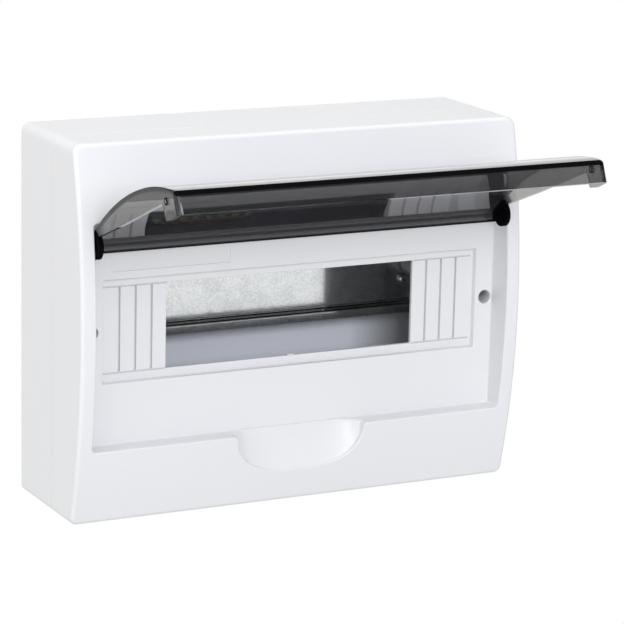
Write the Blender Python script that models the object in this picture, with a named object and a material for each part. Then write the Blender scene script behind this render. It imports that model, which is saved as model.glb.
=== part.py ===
"""Breaker panel box: a surface-mounted enclosure for twelve DIN rail modules, with its door open.

X runs to the right, Y into the wall and Z up. The origin is on the back face, behind the middle of
the rail. Sizes are in millimetres and become metres where a mesh is made.
"""

from math import atan2, cos, degrees, pi, radians, sin, sqrt

import bmesh
import bpy

MM = 0.001
GAP = 0.3

# The modules and the rail that they clip onto.
MODULE = 18.0
MODULES = 12
OPEN_MODULES = 8
STRIP = MODULE / 2
MODULES_HALF = MODULES * MODULE / 2
WINDOW_HALF_WIDTH = OPEN_MODULES * MODULE / 2
WINDOW_HALF_HEIGHT = 22.7

# The body: one outline for the tray and the cover, and a front that is part of a cylinder.
BODY_HALF_WIDTH = 127.3
BODY_TOP = 98.8
BODY_BOTTOM = -99.5
BODY_CORNER = 5.0
BODY_BOTTOM_CORNER = 3.5
WALL = 2.4
SEAM_Y = -43.5
FRONT_Y = -83.4
FRONT_Z = 1.5
FRONT_RADIUS = 385.0
FRONT_EDGE = 2.0
LIP_INSET = 1.3
REBATE_INSET = LIP_INSET - GAP
LIP_LENGTH = 3.0

# The recess for the door, the panel at its bottom and the sunk field around the window.
RECESS_HALF_WIDTH = 119.2
RECESS_TOP = 59.4
RECESS_BOTTOM = -59.5
RECESS_CORNER = 2.0
RECESS_WALL = 2.0
TOP_EDGE_CHAMFER = 0.8
PANEL_Y = -66.8
FIELD_HALF_WIDTH = MODULES_HALF + 1.0
FIELD_HALF_HEIGHT = 27.2
FIELD_Y = -63.0
GROOVE_WIDTH = 0.8
GROOVE_DEPTH = 0.9
LABEL = (-104.0, 31.4, -38.0, 47.0)
LABEL_DEPTH = 0.3

# The finger scoop is half of a superellipse at its rim and shrinks towards the panel.
SCOOP_TOP = -58.0
SCOOP_HALF_WIDTH = 38.3
SCOOP_HEIGHT = 23.7
SCOOP_POWER = 2.6
SCOOP_FLOOR_HALF_WIDTH = 27.0
SCOOP_FLOOR_HEIGHT = 1.0
SCOOP_RIM_Y = -73.6

# The screws that hold the cover, their pockets and the posts they enter.
COVER_SCREW_X = 115.0
POCKET_RADIUS = 3.65
POCKET_FLOOR_Y = -45.0
POCKET_WALL = 1.75
POST_RADIUS = 3.8
POST_HOLE_RADIUS = 2.05

# The door turns on pins; its sizes are as it stands closed.
HINGE_Y = -78.1
HINGE_Z = 48.0
DOOR_OPEN = 115.2
PIN_RADIUS = 1.3
PIN_LENGTH = 2.2
DOOR_HALF_WIDTH = 118.7
DOOR_WALL = 2.0
DOOR_END_WALL = 2.5
DOOR_RADIUS = 159.5
DOOR_CREST_Y = -91.4
DOOR_CREST_Z = 1.6
DOOR_TOP_Z = 55.8
DOOR_TOP_BACK = (-76.6, 57.4)
DOOR_BOTTOM_Z = -59.0
DOOR_LIP_Y = PANEL_Y - 0.3
DOOR_LIP_DRAFT = 0.4
DOOR_CORNER = 3.0
EAR_RADIUS = 6.8
NIB_Y = -76.0
NIB_Z = -48.0
NIB_RADIUS = 1.6
NIB_HEIGHT = 0.2

# The top-hat rail, 35 mm high and 7.5 mm deep.
RAIL_BACK_Y = -10.0
RAIL_DEPTH = 7.5
RAIL_SHEET = 1.0
RAIL_HALF_HEIGHT = 17.5
CHANNEL_HALF_HEIGHT = 13.5
RAIL_SCREW_X = 94.75
RAIL_BOSS_RADIUS = 5.0
RAIL_SLOT_HALF_LENGTH = 2.0
RAIL_SLOT_RADIUS = 2.1

# The terminal bars, their holders and their clamps.
BAR_Z = 66.0
BAR_HALF_LENGTH = 30.0
BAR_HALF_HEIGHT = 3.25
BAR_DEPTH = 9.0
CLAMPS = 7
CLAMP_PITCH = 8.0
WIRE_HOLE_RADIUS = 2.3
HOLDER_HALF_LENGTH = 41.0
HOLDER_HALF_HEIGHT = 6.5
HOLDER_BACK_Y = -8.3
HOLDER_FOOT = 3.5
HOLDER_BLOCK = 9.5
HOLDER_SCREW_X = 36.0
HOLDER_BOSS_RADIUS = 4.0

# The back wall's fixing slots, with a pad around each, and the knock-outs.
FIXING_X = 100.0
FIXING_Z = 80.0
FIXING_PAD_RADIUS = 8.0
FIXING_PAD_Y = -3.9
FIXING_SLOT_RADIUS = 2.5
FIXING_SLOT_HALF_LENGTH = 2.5
KNOCKOUT_X = (-70.0, 0.0, 70.0)
KNOCKOUT_Y = -22.0
KNOCKOUT_RADIUS = 12.5
KNOCKOUT_GROOVE = 0.8

FAR = 40.0


# ---------------------------------------------------------------- outlines

def arc(centre, radius, start, end, steps):
    """Points on an arc, from one angle to another, in degrees."""
    angles = [radians(start + (end - start) * i / steps) for i in range(steps + 1)]
    return [(centre[0] + radius * cos(a), centre[1] + radius * sin(a)) for a in angles]


def rounded_box(left, bottom, right, top, radius, bottom_radius=None, steps=4):
    """A rectangle with round corners, counterclockwise."""
    low = radius if bottom_radius is None else bottom_radius
    points = arc((right - radius, top - radius), radius, 0, 90, steps)
    points += arc((left + radius, top - radius), radius, 90, 180, steps)
    points += arc((left + low, bottom + low), low, 180, 270, steps)
    points += arc((right - low, bottom + low), low, 270, 360, steps)
    return points


def body_outline(inset):
    """The outline that the tray and the cover share, moved in by an inset."""
    return rounded_box(
        -BODY_HALF_WIDTH + inset,
        BODY_BOTTOM + inset,
        BODY_HALF_WIDTH - inset,
        BODY_TOP - inset,
        BODY_CORNER - inset,
        BODY_BOTTOM_CORNER - inset,
    )


def slot_outline(x, z, half_length, radius, steps=6):
    """An upright slot with round ends, for positive half_length."""
    points = arc((x, z + half_length), radius, 0, 180, steps)
    return points + arc((x, z - half_length), radius, 180, 360, steps)


def front_profile(inset, back, steps=20):
    """The side view of the curved front, closed at the back, as (y, z)."""
    radius = FRONT_RADIUS - inset
    centre = (FRONT_Y + FRONT_RADIUS, FRONT_Z)
    reach = degrees(atan2(BODY_TOP - FRONT_Z + WALL * 3, FRONT_RADIUS))
    return arc(centre, radius, 180 - reach, 180 + reach, steps) + [
        (back, BODY_BOTTOM - FAR),
        (back, BODY_TOP + FAR),
    ]


def front_y(z):
    """Where the front surface is at a height."""
    return FRONT_Y + FRONT_RADIUS - sqrt(FRONT_RADIUS**2 - (z - FRONT_Z) ** 2)


# ---------------------------------------------------------------- mesh tools

def mesh_object(name, bm):
    """An object of a bmesh in millimetres."""
    bmesh.ops.recalc_face_normals(bm, faces=bm.faces)
    bmesh.ops.scale(bm, vec=(MM, MM, MM), verts=bm.verts)
    mesh = bpy.data.meshes.new(name)
    bm.to_mesh(mesh)
    bm.free()
    result = bpy.data.objects.new(name, mesh)
    bpy.context.scene.collection.objects.link(result)
    return result


def in_space(axis, along, a, b):
    """A point of an outline, at a distance along the axis that the outline is square to."""
    if axis == "X":
        return (along, a, b)
    if axis == "Y":
        return (a, along, b)
    return (a, b, along)


def loft(name, axis, sections):
    """A solid through outlines with the same number of points, each as (along, outline)."""
    bm = bmesh.new()
    rings = []
    for along, outline in sections:
        rings.append([bm.verts.new(in_space(axis, along, a, b)) for a, b in outline])
    bm.faces.new(rings[0])
    bm.faces.new(rings[-1])
    for lower, upper in zip(rings, rings[1:]):
        for i in range(len(lower)):
            j = (i + 1) % len(lower)
            bm.faces.new((lower[i], lower[j], upper[j], upper[i]))
    return mesh_object(name, bm)


def prism(axis, outline, start, end, name="tool"):
    """An outline pushed along an axis."""
    return loft(name, axis, [(start, outline), (end, outline)])


def cylinder(axis, a, b, radius, start, end, sides=16):
    """A round bar along an axis."""
    return prism(axis, arc((a, b), radius, 0, 360 - 360 / sides, sides - 1), start, end)


def block(x0, x1, y0, y1, z0, z1):
    """A box between two corners."""
    return prism("Y", [(x0, z0), (x1, z0), (x1, z1), (x0, z1)], y0, y1)


def turned(name, x, z, profile, sides):
    """A solid of revolution about a line along Y, from (y, radius) pairs."""
    sections = []
    for y, radius in profile:
        sections.append((y, arc((x, z), radius, 0, 360 - 360 / sides, sides - 1)))
    return loft(name, "Y", sections)


def apply_modifiers(target):
    """Turns what a piece's modifiers make into its mesh."""
    graph = bpy.context.evaluated_depsgraph_get()
    mesh = bpy.data.meshes.new_from_object(target.evaluated_get(graph))
    target.modifiers.clear()
    target.data = mesh


def combine(target, operation, *tools):
    """Joins tools to a solid, cuts them out of it, or keeps what it shares with them."""
    for tool in tools:
        modifier = target.modifiers.new("combine", "BOOLEAN")
        modifier.operation = operation
        modifier.object = tool
        apply_modifiers(target)
        bpy.data.objects.remove(tool)
    return target


def join(target, *tools):
    return combine(target, "UNION", *tools)


def cut(target, *tools):
    return combine(target, "DIFFERENCE", *tools)


def keep_shared(target, *tools):
    return combine(target, "INTERSECT", *tools)


def material(name, colour, roughness, metallic=0.0, transmission=0.0):
    """A Principled material."""
    result = bpy.data.materials.new(name)
    result.use_nodes = True
    shader = result.node_tree.nodes["Principled BSDF"]
    shader.inputs["Base Color"].default_value = (*colour, 1)
    shader.inputs["Roughness"].default_value = roughness
    shader.inputs["Metallic"].default_value = metallic
    shader.inputs["Transmission Weight"].default_value = transmission
    return result


def finish(piece, name, finish_material, smooth_angle=30):
    """Names a finished piece and gives it its material and shading."""
    piece.name = name
    piece.data.name = name
    piece.data.materials.clear()
    piece.data.materials.append(finish_material)
    piece.data.shade_smooth()
    piece.data.set_sharp_from_angle(angle=radians(smooth_angle))
    return piece


# ---------------------------------------------------------------- rear tray

def rear_tray(plastic):
    """The box's back half: an open tray with posts, bosses, fixing slots and knock-outs."""
    tray = prism("Y", body_outline(0), 0, SEAM_Y)
    join(tray, prism("Y", body_outline(LIP_INSET), SEAM_Y + WALL, SEAM_Y - LIP_LENGTH))
    cut(tray, prism("Y", body_outline(WALL), -WALL, -FAR * 2))
    for side in (-1, 1):
        add_post(tray, side)
        boss_x = side * RAIL_SCREW_X
        join(tray, cylinder("Y", boss_x, 0, RAIL_BOSS_RADIUS, -WALL / 2, RAIL_BACK_Y + GAP))
        cut(tray, cylinder("Y", boss_x, 0, 1.9, -WALL - 1, -FAR, 12))
        for bar_side in (-1, 1):
            add_holder_boss(tray, side * HOLDER_SCREW_X, bar_side * BAR_Z)
            add_fixing(tray, side * FIXING_X, bar_side * FIXING_Z)
    for x in KNOCKOUT_X:
        cut(tray, knockout_ring(x))
    return finish(tray, "rear_tray", plastic)


def add_post(tray, side):
    """A tall post for a cover screw, tied to the side wall by a rib."""
    x = side * COVER_SCREW_X
    top = POCKET_FLOOR_Y + RECESS_WALL + GAP
    wall_x = side * (BODY_HALF_WIDTH - WALL / 2)
    join(tray, cylinder("Y", x, 0, POST_RADIUS, -WALL / 2, top))
    left, right = sorted((x + side * POST_RADIUS * 0.8, wall_x))
    join(tray, block(left, right, -WALL / 2, top + 6, -0.8, 0.8))
    cut(tray, cylinder("Y", x, 0, POST_HOLE_RADIUS, top + 23, -FAR * 2))


def add_holder_boss(tray, x, z):
    """A boss for a screw of a terminal bar's holder."""
    join(tray, cylinder("Y", x, z, HOLDER_BOSS_RADIUS, -WALL / 2, HOLDER_BACK_Y + GAP, 12))
    cut(tray, cylinder("Y", x, z, 1.6, -WALL - 0.6, -FAR, 12))


def add_fixing(tray, x, z):
    """A pad on the back wall with a slot for a wall screw."""
    join(tray, cylinder("Y", x, z, FIXING_PAD_RADIUS, -WALL / 2, FIXING_PAD_Y))
    slot = slot_outline(x, z, FIXING_SLOT_HALF_LENGTH, FIXING_SLOT_RADIUS)
    cut(tray, prism("Y", slot, 1, -FAR / 2))


def knockout_ring(x):
    """A ring-shaped groove in the bottom wall, which leaves a disc to break out."""
    ring = cylinder("Z", x, KNOCKOUT_Y, KNOCKOUT_RADIUS, BODY_BOTTOM - 1, BODY_BOTTOM + 1, 24)
    inner = KNOCKOUT_RADIUS - KNOCKOUT_GROOVE
    return cut(ring, cylinder("Z", x, KNOCKOUT_Y, inner, BODY_BOTTOM - 2, BODY_BOTTOM + 2, 24))


# ---------------------------------------------------------------- front cover

def front_cover(plastic):
    """The box's front half, with the door's recess, the module window and the scoop."""
    cover = prism("Y", body_outline(0), SEAM_Y + FAR / 4, FRONT_Y - FAR)
    keep_shared(cover, prism("X", front_profile(0, 0), -FAR * 5, FAR * 5))
    edge = cover.modifiers.new("edge", "BEVEL")
    edge.width = FRONT_EDGE * MM
    edge.segments = 3
    edge.limit_method = "ANGLE"
    edge.angle_limit = radians(60)
    apply_modifiers(cover)
    cut(cover, cover_cavity())
    cut(cover, prism("Y", body_outline(-FAR), SEAM_Y - GAP, FAR))
    cut(cover, prism("Y", body_outline(REBATE_INSET), SEAM_Y - LIP_LENGTH - GAP, FAR))
    cut_recess(cover)
    cut_field(cover)
    for side in (-1, 1):
        cut_strips(cover, side)
        x = side * COVER_SCREW_X
        cut(cover, cylinder("Y", x, 0, POCKET_RADIUS, POCKET_FLOOR_Y, PANEL_Y - 1))
        cut(cover, cylinder("Y", x, 0, 2.2, 0, POCKET_FLOOR_Y - 1, 12))
        ear_side = side * (RECESS_HALF_WIDTH - 1)
        pin_radius = PIN_RADIUS + GAP
        outside = side * (RECESS_HALF_WIDTH + RECESS_WALL + 1)
        cut(cover, cylinder("X", HINGE_Y, HINGE_Z, pin_radius, ear_side, outside, 12))
    left, bottom, right, top = LABEL
    cut(cover, block(left, right, PANEL_Y + LABEL_DEPTH, PANEL_Y - 1, bottom, top))
    cut(cover, scoop("tool", 0, 0))
    return finish(cover, "front_cover", plastic)


def cover_cavity():
    """The space inside the cover: its inner shape without the walls of the recess."""
    cavity = prism("Y", body_outline(WALL), FAR / 4, FRONT_Y - FAR)
    keep_shared(cavity, prism("X", front_profile(WALL, FAR), -FAR * 5, FAR * 5))
    recess = rounded_box(
        -RECESS_HALF_WIDTH - RECESS_WALL,
        RECESS_BOTTOM - RECESS_WALL,
        RECESS_HALF_WIDTH + RECESS_WALL,
        RECESS_TOP + RECESS_WALL,
        RECESS_CORNER + RECESS_WALL,
    )
    cut(cavity, prism("Y", recess, PANEL_Y + RECESS_WALL, FRONT_Y - FAR))
    width = FIELD_HALF_WIDTH + RECESS_WALL
    height = FIELD_HALF_HEIGHT + RECESS_WALL
    cut(cavity, block(-width, width, FIELD_Y + RECESS_WALL, FRONT_Y - FAR, -height, height))
    tube_radius = POCKET_RADIUS + POCKET_WALL
    for side in (-1, 1):
        x = side * COVER_SCREW_X
        tube_end = POCKET_FLOOR_Y + RECESS_WALL
        cut(cavity, cylinder("Y", x, 0, tube_radius, tube_end, FRONT_Y - FAR))
    return cut(cavity, scoop("tool", RECESS_WALL, RECESS_WALL))


def cut_recess(cover):
    """The recess that the door lies in, with a chamfer where the open door leans."""
    recess = rounded_box(
        -RECESS_HALF_WIDTH, RECESS_BOTTOM, RECESS_HALF_WIDTH, RECESS_TOP, RECESS_CORNER
    )
    cut(cover, prism("Y", recess, PANEL_Y, FRONT_Y - FAR))
    edge_y = front_y(RECESS_TOP)
    chamfer = [
        (edge_y + TOP_EDGE_CHAMFER, RECESS_TOP - 1),
        (edge_y + TOP_EDGE_CHAMFER, RECESS_TOP),
        (edge_y - 1, RECESS_TOP + TOP_EDGE_CHAMFER + 1),
        (edge_y - FAR, RECESS_TOP + TOP_EDGE_CHAMFER + 1),
        (edge_y - FAR, RECESS_TOP - 1),
    ]
    cut(cover, prism("X", chamfer, -RECESS_HALF_WIDTH, RECESS_HALF_WIDTH))


def cut_field(cover):
    """The sunk field and the window in its floor."""
    width = FIELD_HALF_WIDTH
    height = FIELD_HALF_HEIGHT
    cut(cover, block(-width, width, FIELD_Y, PANEL_Y - 1, -height, height))
    width = WINDOW_HALF_WIDTH
    height = WINDOW_HALF_HEIGHT
    cut(cover, block(-width, width, 0, FIELD_Y - 1, -height, height))


def cut_strips(cover, side):
    """Grooves that leave break-off strips, half a module wide, beside the window."""
    floor = FIELD_Y + GROOVE_DEPTH
    height = WINDOW_HALF_HEIGHT
    strips = round((MODULES_HALF - WINDOW_HALF_WIDTH) / STRIP)
    for i in range(1, strips + 1):
        x = side * (WINDOW_HALF_WIDTH + i * STRIP - GROOVE_WIDTH / 2)
        half = GROOVE_WIDTH / 2
        cut(cover, block(x - half, x + half, floor, FIELD_Y - 1, -height, height))


def scoop(name, inset, back):
    """The scoop's hollow, or, moved out by an inset and back, the outside of its wall."""
    levels = (0.0, 0.2, 0.45, 0.7, 1.0)
    sections = [(FRONT_Y - FAR, scoop_outline(1.0, inset))]
    for level in reversed(levels):
        y = PANEL_Y + (SCOOP_RIM_Y - PANEL_Y) * level
        sections.append((y + back, scoop_outline(level, inset)))
    return loft(name, "Y", sections)


def scoop_outline(level, inset, steps=16):
    """The scoop's outline at a level, from 0 at the panel to 1 at the rim."""
    grown = level**0.6
    width = SCOOP_FLOOR_HALF_WIDTH + (SCOOP_HALF_WIDTH - SCOOP_FLOOR_HALF_WIDTH) * grown
    height = SCOOP_FLOOR_HEIGHT + (SCOOP_HEIGHT - SCOOP_FLOOR_HEIGHT) * level**0.9
    above = SCOOP_TOP + inset + RECESS_CORNER
    points = [(-width - inset, above)]
    for i in range(steps + 1):
        angle = pi * i / steps
        across = abs(cos(angle)) ** (2 / SCOOP_POWER)
        down = sin(angle) ** (2 / SCOOP_POWER) if 0 < i < steps else 0
        x = -(width + inset) * across if angle < pi / 2 else (width + inset) * across
        points.append((x, SCOOP_TOP - (height + inset) * down))
    return points + [(width + inset, above)]


# ---------------------------------------------------------------- door

def door(smoked):
    """The smoked door, built closed about its hinge and then turned open."""
    lens = prism("X", lens_section(), -DOOR_HALF_WIDTH, DOOR_HALF_WIDTH)
    for side in (-1, 1):
        inner = side * (DOOR_HALF_WIDTH - DOOR_END_WALL)
        outer = side * DOOR_HALF_WIDTH
        join(lens, prism("X", end_wall_outline(), inner, outer))
    outline = rounded_box(
        -DOOR_HALF_WIDTH, DOOR_BOTTOM_Z, DOOR_HALF_WIDTH, BODY_TOP, DOOR_CORNER
    )
    keep_shared(lens, prism("Y", outline, 0, FRONT_Y - FAR))
    for side in (-1, 1):
        face = side * (DOOR_HALF_WIDTH - 1)
        tip = side * (DOOR_HALF_WIDTH + PIN_LENGTH)
        join(lens, cylinder("X", HINGE_Y, HINGE_Z, PIN_RADIUS, face, tip, 12))
        tip = side * (DOOR_HALF_WIDTH + NIB_HEIGHT)
        join(lens, cylinder("X", NIB_Y, NIB_Z, NIB_RADIUS, face, tip, 12))
    finish(lens, "door", smoked)
    for vertex in lens.data.vertices:
        vertex.co.y -= HINGE_Y * MM
        vertex.co.z -= HINGE_Z * MM
    lens.location = (0, HINGE_Y * MM, HINGE_Z * MM)
    lens.rotation_euler = (radians(-DOOR_OPEN), 0, 0)
    return lens


def door_arc(inset, bottom, top, steps=14):
    """The door's curved side view between two heights, from the bottom up."""
    radius = DOOR_RADIUS - inset
    centre = (DOOR_CREST_Y + DOOR_RADIUS, DOOR_CREST_Z)
    start = 180 - degrees(atan2(bottom - DOOR_CREST_Z, radius))
    end = 180 - degrees(atan2(top - DOOR_CREST_Z, radius))
    return arc(centre, radius, start, end, steps)


def lens_section():
    """The side view of the curved pane with its bottom lip and its top wall."""
    outer = door_arc(0, DOOR_BOTTOM_Z - 1.5, DOOR_TOP_Z + 1.5)
    inner = door_arc(DOOR_WALL, DOOR_BOTTOM_Z + DOOR_WALL, DOOR_TOP_Z - DOOR_WALL)
    outer = [p for p in outer if DOOR_BOTTOM_Z < p[1] < DOOR_TOP_Z]
    back_y, back_z = DOOR_TOP_BACK
    lip_z = DOOR_BOTTOM_Z + DOOR_LIP_DRAFT
    section = [(DOOR_LIP_Y, lip_z), (door_y(DOOR_BOTTOM_Z), DOOR_BOTTOM_Z)]
    section += outer
    section += [(door_y(DOOR_TOP_Z), DOOR_TOP_Z), DOOR_TOP_BACK, (back_y, back_z - DOOR_WALL)]
    section += reversed(inner)
    return section + [(DOOR_LIP_Y, lip_z + DOOR_WALL)]


def door_y(z):
    """Where the closed door's outer surface is at a height."""
    return DOOR_CREST_Y + DOOR_RADIUS - sqrt(DOOR_RADIUS**2 - (z - DOOR_CREST_Z) ** 2)


def end_wall_outline():
    """An end wall's side view: the pane's curve, an ear, a slanted edge and a tab at the lip."""
    outer = [p for p in door_arc(0, -58, DOOR_TOP_Z - 1) if p[1] < DOOR_TOP_Z]
    back = arc((HINGE_Y, HINGE_Z), EAR_RADIUS, 75, -130, 12)
    edge = [(-81.2, 40.6), (-79.0, 6.7), (-76.8, -41.6)]
    tab = [(-74.3, -42.9), (-70.9, -43.4), (-68.4, -44.2)]
    bottom = DOOR_BOTTOM_Z + DOOR_WALL / 2
    return (
        [(door_y(bottom), bottom)]
        + outer
        + [(door_y(DOOR_TOP_Z), DOOR_TOP_Z), DOOR_TOP_BACK]
        + back
        + edge
        + tab
        + [(DOOR_LIP_Y, bottom)]
    )


# ---------------------------------------------------------------- rail and terminals

def din_rail(steel):
    """The top-hat rail, with a slot for a screw near each end."""
    back = RAIL_BACK_Y
    front = RAIL_BACK_Y - RAIL_DEPTH
    sheet = RAIL_SHEET
    outside = [
        (front, RAIL_HALF_HEIGHT),
        (front + sheet, RAIL_HALF_HEIGHT),
        (front + sheet, CHANNEL_HALF_HEIGHT),
        (back, CHANNEL_HALF_HEIGHT),
    ]
    inside = [
        (back - sheet, CHANNEL_HALF_HEIGHT - sheet),
        (front, CHANNEL_HALF_HEIGHT - sheet),
    ]
    section = outside + [(y, -z) for y, z in reversed(outside)]
    section += [(y, -z) for y, z in reversed(inside)] + inside
    rail = prism("X", section, -MODULES_HALF, MODULES_HALF)
    for side in (-1, 1):
        x = side * RAIL_SCREW_X
        slot = slot_outline(0, x, RAIL_SLOT_HALF_LENGTH, RAIL_SLOT_RADIUS)
        turned_slot = [(b, a) for a, b in reversed(slot)]
        cut(rail, prism("Y", turned_slot, 0, back - sheet - 1))
    return finish(rail, "din_rail", steel)


def pan_screw(name, metal, x, z, seat_y, shank_radius, tip_y, head_radius, head_height):
    """A pan head screw with a cross recess. It points into the wall from seat_y."""
    top = seat_y - head_height
    profile = [
        (tip_y, shank_radius * 0.4),
        (tip_y - shank_radius, shank_radius),
        (seat_y, shank_radius),
        (seat_y, head_radius),
        (top + head_height * 0.4, head_radius),
        (top, head_radius * 0.7),
    ]
    screw = turned("tool", x, z, profile, 12)
    arm = head_radius * 0.55
    half = head_radius * 0.12
    depth = top + head_height * 0.5
    cut(screw, block(x - arm, x + arm, depth, top - 1, z - half, z + half))
    cut(screw, block(x - half, x + half, depth, top - 1, z - arm, z + arm))
    return finish(screw, name, metal)


def clamp_screw(name, metal, x, z, face_y, tip_y):
    """A slotted screw that clamps a wire in a terminal bar."""
    seat = face_y - GAP
    top = seat - 2.2
    profile = [(tip_y, 1.6), (seat, 1.6), (seat, 2.6), (top, 2.6)]
    screw = turned("tool", x, z, profile, 10)
    cut(screw, block(x - 4, x + 4, top + 1, top - 1, z - 0.4, z + 0.4))
    return finish(screw, name, metal)


def terminal_bar(name, brass, z):
    """A brass bar with a wire hole and a screw hole for each clamp."""
    back = HOLDER_BACK_Y - HOLDER_BLOCK - GAP
    front = back - BAR_DEPTH
    chamfer = 0.6
    bottom = z - BAR_HALF_HEIGHT
    top = z + BAR_HALF_HEIGHT
    section = [
        (back, bottom),
        (back, top),
        (front + chamfer, top),
        (front, top - chamfer),
        (front, bottom + chamfer),
        (front + chamfer, bottom),
    ]
    bar = prism("X", section, -BAR_HALF_LENGTH, BAR_HALF_LENGTH)
    wire_y = back - WIRE_HOLE_RADIUS - 1.2
    for x in clamp_places():
        hole = cylinder("Z", x, wire_y, WIRE_HOLE_RADIUS, bottom - 1, top + 1, 12)
        cut(bar, hole, cylinder("Y", x, z, 2.0, wire_y, front - 1, 12))
    return finish(bar, name, brass)


def clamp_places():
    """The places of the clamps along a bar."""
    return [(i - (CLAMPS - 1) / 2) * CLAMP_PITCH for i in range(CLAMPS)]


def bar_holder(name, plastic, z):
    """A plastic block that holds a terminal bar off the back wall, with a foot at each end."""
    back = HOLDER_BACK_Y
    foot = back - HOLDER_FOOT
    top = back - HOLDER_BLOCK
    half = HOLDER_HALF_HEIGHT
    outline = rounded_box(-HOLDER_HALF_LENGTH, z - half, HOLDER_HALF_LENGTH, z + half, 2)
    holder = prism("Y", outline, back, foot)
    inner = BAR_HALF_HEIGHT + GAP
    rim = BAR_HALF_HEIGHT + 1.6
    length = BAR_HALF_LENGTH
    join(holder, block(-length, length, back - 1, top - 1.0, z - rim, z + rim))
    cut(holder, block(-length - 1, length + 1, top, top - 3, z - inner, z + inner))
    for side in (-1, 1):
        x = side * HOLDER_SCREW_X
        cut(holder, cylinder("Y", x, z, 1.9, 0, foot - 1, 12))
    return finish(holder, name, plastic)


def terminals(name, holder_plastic, brass, zinc, z):
    """A bar on its holder, with its clamp screws and the two screws of the holder."""
    bar_holder(f"{name}_bar_holder", holder_plastic, z)
    terminal_bar(f"{name}_bar", brass, z)
    face = HOLDER_BACK_Y - HOLDER_BLOCK - GAP - BAR_DEPTH
    for i, x in enumerate(clamp_places()):
        clamp_screw(f"{name}_clamp_screw_{i + 1}", zinc, x, z, face, face + 3.0)
    for side, word in ((-1, "left"), (1, "right")):
        pan_screw(
            f"{name}_holder_screw_{word}",
            zinc,
            side * HOLDER_SCREW_X,
            z,
            HOLDER_BACK_Y - HOLDER_FOOT - GAP,
            1.3,
            -4.0,
            2.8,
            2.0,
        )


def screws(zinc):
    """The screws of the rail and of the cover."""
    for side, word in ((-1, "left"), (1, "right")):
        rail_seat = RAIL_BACK_Y - RAIL_SHEET - GAP
        x = side * RAIL_SCREW_X
        pan_screw(f"rail_screw_{word}", zinc, x, 0, rail_seat, 1.6, -4.4, 3.1, 2.3)
        cover_seat = POCKET_FLOOR_Y - GAP
        x = side * COVER_SCREW_X
        pan_screw(f"cover_screw_{word}", zinc, x, 0, cover_seat, 1.75, -22.0, 3.1, 2.4)


def build():
    """Clears the scene and makes every piece of the box."""
    for item in list(bpy.data.objects):
        bpy.data.objects.remove(item)
    white = material("white_plastic", (0.84, 0.85, 0.86), 0.38)
    smoked = material("smoked_plastic", (0.12, 0.12, 0.125), 0.08, transmission=0.8)
    steel = material("galvanised_steel", (0.72, 0.73, 0.74), 0.3, 1.0)
    zinc = material("zinc_plate", (0.62, 0.63, 0.64), 0.35, 1.0)
    brass = material("brass", (0.80, 0.60, 0.28), 0.3, 1.0)
    blue = material("blue_plastic", (0.06, 0.20, 0.55), 0.45)
    green = material("green_plastic", (0.10, 0.42, 0.12), 0.45)
    rear_tray(white)
    front_cover(white)
    door(smoked)
    din_rail(steel)
    screws(zinc)
    terminals("neutral", blue, brass, zinc, BAR_Z)
    terminals("earth", green, brass, zinc, -BAR_Z)


build()
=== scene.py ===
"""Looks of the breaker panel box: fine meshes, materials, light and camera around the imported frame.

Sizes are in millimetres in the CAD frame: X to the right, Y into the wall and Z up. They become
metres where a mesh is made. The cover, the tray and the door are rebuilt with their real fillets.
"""

from math import cos, pi, radians, sin, sqrt

import bmesh
import bpy
from mathutils import Matrix, Vector


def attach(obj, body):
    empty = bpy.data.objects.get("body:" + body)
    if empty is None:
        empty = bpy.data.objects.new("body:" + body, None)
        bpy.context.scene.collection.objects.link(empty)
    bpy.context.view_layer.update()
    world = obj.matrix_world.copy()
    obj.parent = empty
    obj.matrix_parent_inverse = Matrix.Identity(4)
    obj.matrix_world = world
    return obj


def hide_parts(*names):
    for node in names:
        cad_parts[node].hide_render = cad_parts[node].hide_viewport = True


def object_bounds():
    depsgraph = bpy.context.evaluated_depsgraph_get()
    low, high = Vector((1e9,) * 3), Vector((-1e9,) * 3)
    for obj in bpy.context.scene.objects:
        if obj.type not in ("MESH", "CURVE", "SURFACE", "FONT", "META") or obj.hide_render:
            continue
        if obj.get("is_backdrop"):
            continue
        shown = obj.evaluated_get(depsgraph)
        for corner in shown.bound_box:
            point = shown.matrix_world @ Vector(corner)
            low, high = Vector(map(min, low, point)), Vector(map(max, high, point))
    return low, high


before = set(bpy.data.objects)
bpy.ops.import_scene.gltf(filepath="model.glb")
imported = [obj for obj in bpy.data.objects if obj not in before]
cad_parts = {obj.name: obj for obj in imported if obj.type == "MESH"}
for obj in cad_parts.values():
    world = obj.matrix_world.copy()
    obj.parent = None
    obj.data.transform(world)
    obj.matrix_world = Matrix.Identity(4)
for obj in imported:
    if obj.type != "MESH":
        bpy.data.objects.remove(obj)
cad_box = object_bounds()

MM = 0.001

# The body, as the CAD has it.
HALF_WIDTH = 127.3
TOP = 98.8
BOTTOM = -99.5
CORNER = 5.0
LOW_CORNER = 3.5
WALL = 2.4
SEAM_Y = -43.5
SEAM_GAP = 0.3
SEAM_LINE = 0.12
SEAM_EDGE = 0.15
LIP_INSET = 1.3
LIP_LENGTH = 3.0
WALL_ROOT = 1.0
FRONT_Y = -83.4
FRONT_Z = 1.5
FRONT_RADIUS = 385.0
FRONT_FILLET = 2.0
BACK_FILLET = 1.0

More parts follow.
